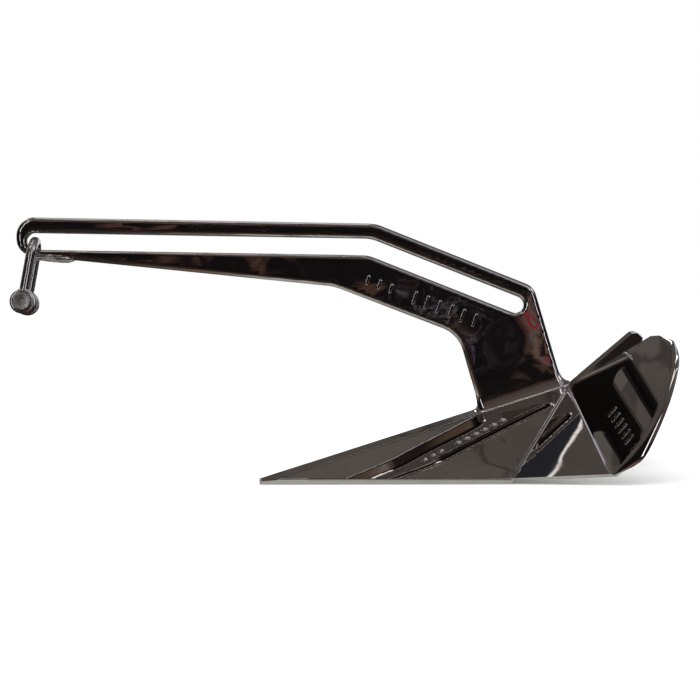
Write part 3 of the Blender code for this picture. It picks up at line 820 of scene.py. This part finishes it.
# Round lights that only the polished metal sees: (direction, inner degrees, outer degrees, colour)
GLOWS = (
    ((-0.50, 0.51, 0.70), 6.0, 9.0, (3.0, 2.9, 2.8)),
    ((-0.45, -0.25, 0.85), 3.0, 8.0, (1.9, 1.8, 1.75)),
    ((0.58, -0.50, 0.65), 4.0, 34.0, (0.34, 0.37, 0.43)),
    ((0.85, -0.20, 0.50), 2.0, 12.0, (2.2, 2.2, 2.3)),
)
# Upright strip lights beside the camera: (slope sideways, half width, lowest, highest, colour)
STRIPS = (
    (-0.42, 0.06, -0.10, 0.75, (2.6, 2.6, 2.7)),
    (0.50, 0.07, -0.10, 0.80, (2.2, 2.2, 2.3)),
)
# Narrow lights overhead, from side to side: (y from, y to, colour)
OVERHEAD = (
    (-0.11, -0.06, (2.6, 2.5, 2.5)),
    (-0.42, -0.38, (1.8, 1.8, 1.8)),
)
OVERHEAD_ACROSS = (-0.34, 0.20, 0.04)
OVERHEAD_HEIGHT = (0.5, 0.7)
# Dark screen overhead with a bright rim: y - slope * x > edge
SCREEN_SLOPE = 0.564
SCREEN_EDGE = 0.5016
SCREEN_RIM = 0.0005
SCREEN_HEIGHT = (0.80, 0.83)
SCREEN_DEPTH = (0.27, 0.46, 0.01)
SCREEN_DARK = (0.030, 0.032, 0.038)
SCREEN_RIM_LIGHT = (1.3, 1.25, 1.2)
HORIZON = (0.010, 0.008, 0.009)
CEILING = (0.135, 0.118, 0.106)
BACKDROP = (0.80, 0.84, 0.92)
ARCH = (0.52, 0.55, 0.62)
FRONT_WARMTH = (0.095, 0.072, 0.062)
# Room in front of the shank, seen small in it: (noise value, colour)
ROOM_PATCHES = (
    (0.00, (0.006, 0.005, 0.006)),
    (0.44, (0.012, 0.009, 0.009)),
    (0.49, (0.100, 0.066, 0.050)),
    (0.54, (0.150, 0.125, 0.105)),
    (0.575, (0.270, 0.014, 0.030)),
    (0.600, (0.260, 0.020, 0.035)),
    (0.610, (0.090, 0.180, 0.150)),
    (0.70, (0.120, 0.100, 0.088)),
)
VIOLET_HAZE = (0.135, 0.118, 0.145)
BROWN_HAZE = (0.095, 0.045, 0.030)
# Where these stand, by slope across and up: (low, high, edge)
PATCHES_ACROSS = (0.080, 0.150, 0.006)
PATCHES_UP = (-0.070, -0.012, 0.008)
VIOLET_ACROSS = (0.020, 0.066, 0.010)
VIOLET_UP = (-0.040, -0.005, 0.006)
BROWN_ACROSS = (-0.20, 0.055, 0.02)
# Light of the world on the camera's rays and on matt surfaces
SKY_SEEN = (1.0, 1.0, 1.0, 1.0)
SKY_LIGHT = (1.75, 1.75, 1.75, 1.0)


def window(graph, value, low, high, edge):
    """1 between low and high, fading out over edge on both sides."""
    return graph.math("MULTIPLY", graph.ramp(value, low - edge, low + edge),
                      graph.ramp(value, high + edge, high - edge))


def colour_steps(graph, value, steps):
    """A colour ramp from (position, colour) steps."""
    ramp = graph.node("ShaderNodeValToRGB")
    elements = ramp.color_ramp.elements
    while len(elements) < len(steps):
        elements.new(0.5)
    for element, (position, colour) in zip(elements, steps):
        element.position = position
        element.color = (*colour, 1.0)
    graph.put(ramp.inputs[0], value)
    return ramp.outputs[0]


def room_colour(graph, across, up):
    """What stands in the room behind the camera, as patches by their slopes across and up."""
    joined = graph.node("ShaderNodeCombineXYZ")
    graph.put(joined.inputs[0], across)
    graph.put(joined.inputs[1], up)
    place = joined.outputs[0]
    patches = colour_steps(
        graph, graph.noise(place, 88.0, detail=3.0, roughness=0.55, distortion=0.8), ROOM_PATCHES)
    near_leg = graph.math(
        "MULTIPLY", window(graph, across, *PATCHES_ACROSS), window(graph, up, *PATCHES_UP))
    colour = graph.mix(near_leg, (*HORIZON, 1.0), patches)
    swirl = graph.noise(
        graph.stretched(place, (1.0, 1.8, 1.0)), 70.0, detail=4.0, roughness=0.6, distortion=1.2)
    streak = graph.math("ABSOLUTE", graph.math("SUBTRACT", swirl, 0.5))
    violet = graph.math("MULTIPLY", graph.ramp(streak, 0.030, 0.006), graph.math(
        "MULTIPLY", window(graph, across, *VIOLET_ACROSS), window(graph, up, *VIOLET_UP)))
    colour = graph.vector("ADD", colour, graph.scale(VIOLET_HAZE, violet))
    smoke = graph.noise(graph.stretched(place, (0.5, 1.6, 1.0)), 48.0, detail=3.0)
    brown = graph.math(
        "MULTIPLY", graph.ramp(smoke, 0.56, 0.66), window(graph, across, *BROWN_ACROSS))
    return graph.vector("ADD", colour, graph.scale(BROWN_HAZE, brown))


def add_screen(graph, colour, x, y, z):
    """A dark screen overhead, whose rim shines."""
    line = graph.math("SUBTRACT", y, graph.math("MULTIPLY", x, SCREEN_SLOPE))
    past = graph.math("SUBTRACT", line, SCREEN_EDGE)
    high = graph.math(
        "MULTIPLY", graph.ramp(z, *SCREEN_HEIGHT), window(graph, y, *SCREEN_DEPTH))
    dark = graph.math("MULTIPLY", high, graph.ramp(past, -SCREEN_RIM, SCREEN_RIM))
    colour = graph.mix(dark, colour, (*SCREEN_DARK, 1.0))
    rim = graph.math("MULTIPLY", high, graph.ramp(
        graph.math("ABSOLUTE", past), 2 * SCREEN_RIM, SCREEN_RIM))
    return graph.vector("ADD", colour, graph.scale(SCREEN_RIM_LIGHT, rim))


def studio_colour(graph, direction):
    """Colour that the metal sees in a direction."""
    split = graph.node("ShaderNodeSeparateXYZ")
    graph.put(split.inputs[0], direction)
    x, y, z = split.outputs
    sideways = graph.math("ABSOLUTE", x)
    depth = graph.math("MAXIMUM", graph.math("MULTIPLY", y, -1.0), 0.05)
    across = graph.math("DIVIDE", x, depth)
    up = graph.math("DIVIDE", z, depth)
    in_front = graph.ramp(y, -0.20, -0.50)
    cloud = graph.noise(direction, 7.0, detail=4.0, roughness=0.6, distortion=1.5)
    contour = graph.math("ABSOLUTE", graph.math("SUBTRACT", cloud, 0.52))
    dark_line = graph.ramp(contour, 0.004, 0.030, 0.55, 1.0)
    ceiling = graph.scale(CEILING, graph.math(
        "MULTIPLY", dark_line, graph.ramp(cloud, 0.3, 0.7, 0.82, 1.10)))
    low = graph.ramp(y, -0.55, 0.10, 0.50, 0.12)
    overhead = graph.ramp(graph.math("SUBTRACT", z, low), 0.0, 0.28)
    horizon = graph.mix(in_front, (*HORIZON, 1.0), room_colour(graph, across, up))
    colour = graph.mix(overhead, horizon, ceiling)
    behind = graph.math("MULTIPLY", graph.ramp(y, 0.45, 0.85), graph.ramp(z, 0.28, 0.66, 1.0, 0.0))
    colour = graph.mix(behind, colour, (*BACKDROP, 1.0))
    arch = graph.math("MULTIPLY", graph.ramp(sideways, 0.20, 0.09),
                      graph.math("MULTIPLY", graph.ramp(y, -0.22, 0.0), graph.ramp(z, 0.1, 0.4)))
    colour = graph.vector("ADD", colour, graph.scale(ARCH, arch))
    middle = graph.math("MULTIPLY", in_front, graph.ramp(sideways, 0.40, 0.22))
    front = graph.math("MULTIPLY", middle, graph.math(
        "MULTIPLY", graph.ramp(z, 0.12, 0.40), graph.ramp(z, 0.80, 0.55)))
    colour = graph.vector("ADD", colour, graph.scale(FRONT_WARMTH, front))
    colour = add_screen(graph, colour, x, y, z)
    for start, end, light in OVERHEAD:
        over = graph.math(
            "MULTIPLY", window(graph, x, *OVERHEAD_ACROSS), graph.ramp(z, *OVERHEAD_HEIGHT))
        lit = graph.math("MULTIPLY", window(graph, y, start, end, 0.01), over)
        colour = graph.vector("ADD", colour, graph.scale(light, lit))
    for slope, half, lowest, highest, light in STRIPS:
        lit = graph.math("MULTIPLY", window(graph, across, slope - half, slope + half, 0.02),
                         window(graph, up, lowest, highest, 0.04))
        shown = graph.math("MULTIPLY", lit, in_front)
        colour = graph.vector("ADD", colour, graph.scale(light, shown))
    for place, inner, outer, light in GLOWS:
        near = graph.vector("DOT_PRODUCT", direction, tuple(Vector(place).normalized()))
        share = graph.ramp(near, math.cos(math.radians(outer)), math.cos(math.radians(inner)))
        colour = graph.vector("ADD", colour, graph.scale(light, share))
    return colour


def make_world():
    """White for the camera, brighter for matt surfaces, and the studio for polished metal."""
    world = bpy.data.worlds.new("studio")
    bpy.context.scene.world = world
    world.use_nodes = True
    graph = Graph(world.node_tree)
    background = world.node_tree.nodes["Background"]
    direction = graph.vector("NORMALIZE", graph.node("ShaderNodeTexCoord").outputs["Generated"])
    path = graph.node("ShaderNodeLightPath")
    seen = studio_colour(graph, direction)
    plain = graph.mix(path.outputs["Is Diffuse Ray"], SKY_SEEN, SKY_LIGHT)
    colour = graph.mix(path.outputs["Is Glossy Ray"], plain, seen)
    graph.put(background.inputs["Color"], colour)


def make_floor():
    """Plain pale floor. Polished metal sees a painted glow in its place instead: pale under the anchor, warm round
    it, and darker far from the anchor and behind.
    """
    builder = bmesh.new()
    bmesh.ops.create_grid(builder, x_segments=1, y_segments=1, size=FLOOR_HALF)
    floor = make_object("floor", builder)
    material, graph, shader, place = new_material("pale_floor")
    shader.inputs["Base Color"].default_value = (0.86, 0.86, 0.86, 1.0)
    shader.inputs["Roughness"].default_value = 0.9
    shader.inputs["Specular IOR Level"].default_value = 0.0
    past = graph.vector("SUBTRACT", graph.vector("ABSOLUTE", graph.vector(
        "SUBTRACT", place, FLOOR_GLOW_CENTRE)), FLOOR_GLOW_HALF)
    away = graph.vector("LENGTH", graph.vector("MAXIMUM", past, (0.0, 0.0, 0.0)))
    # Painted light for glossy rays: the floor glows pale under the anchor, warm round it, and darker further off
    # and behind
    near = graph.mix(graph.ramp(away, 0.0, 0.07), FLOOR_GLOW_PALE, FLOOR_GLOW_WARM)
    middle = graph.mix(graph.ramp(away, 0.09, 0.17), near, FLOOR_GLOW_DIM)
    far = graph.mix(graph.ramp(away, 0.40, 1.2), middle, FLOOR_GLOW_FAR)
    split = graph.node("ShaderNodeSeparateXYZ")
    graph.put(split.inputs[0], place)
    seen = graph.mix(graph.ramp(split.outputs[1], 0.14, 0.20), far, FLOOR_GLOW_BEHIND)
    emission = graph.node("ShaderNodeEmission")
    graph.put(emission.inputs["Color"], seen)
    mix = graph.node("ShaderNodeMixShader")
    graph.put(mix.inputs[0], graph.node("ShaderNodeLightPath").outputs["Is Glossy Ray"])
    graph.put(mix.inputs[1], shader.outputs[0])
    graph.put(mix.inputs[2], emission.outputs[0])
    graph.put(material.node_tree.nodes["Material Output"].inputs["Surface"], mix.outputs[0])
    floor.data.materials.append(material)


def make_camera():
    """The photo's camera, rolled a little and looking slightly down."""
    camera = bpy.data.cameras.new("camera")
    camera.lens = CAMERA_LENS
    camera.sensor_width = 36.0
    item = bpy.data.objects.new("camera", camera)
    bpy.context.scene.collection.objects.link(item)
    item.location = CAMERA_PLACE
    forward = Vector((0.0, math.cos(CAMERA_PITCH), -math.sin(CAMERA_PITCH)))
    item.rotation_mode = "QUATERNION"
    level = forward.to_track_quat("-Z", "Y")
    item.rotation_quaternion = level @ Matrix.Rotation(-CAMERA_ROLL, 3, "Z").to_quaternion()
    bpy.context.scene.camera = item


def main():
    fluke_steel = polished_steel("polished_fluke", (30.0, 700.0, 700.0))
    shank_steel = polished_steel("polished_shank", (20.0, 900.0, 1000.0), (0.002, 0.014))
    weld_steel = polished_steel("polished_weld", (120.0, 400.0, 400.0), (0.02, 0.06))
    forged_steel = polished_steel("polished_forging", (60.0, 60.0, 60.0), (0.16, 0.22))
    satin = satin_steel("satin_plate")
    for name, side in (("port_blade", -1.0), ("starboard_blade", 1.0)):
        make_blade(name, side, fluke_steel)
    make_solid_copy("toe_point", fluke_steel, "polished_steel", 0.0005, SEAM_X)
    make_solid_copy("ridge_spine", fluke_steel, "polished_steel", 0.0008)
    make_solid_copy("sole_plate", polished_steel("polished_sole", (30.0, 300.0, 300.0), (0.08, 0.14)),
                    "satin_steel", 0.0008)
    make_solid_copy("nose_bulkhead", satin, "satin_steel", 0.0004)
    make_solid_copy("nose_ballast", cast_iron("ballast_iron"), "ballast_iron", 0.0012)
    make_shank(shank_steel)
    make_bars(shank_steel)
    tree = fluke_tree()
    make_fillet("shank_weld_port", -1.0, tree, weld_steel)
    make_fillet("shank_weld_starboard", 1.0, tree, weld_steel)
    make_end_weld(raw_weld("rough_weld"))
    place = shackle_frame()
    make_bow(place, forged_steel)
    make_pin(place, polished_steel("polished_pin", (90.0, 90.0, 90.0), (0.30, 0.38)))
    make_world()
    make_floor()
    make_camera()
    bpy.context.scene.view_settings.view_transform = "Standard"


main()
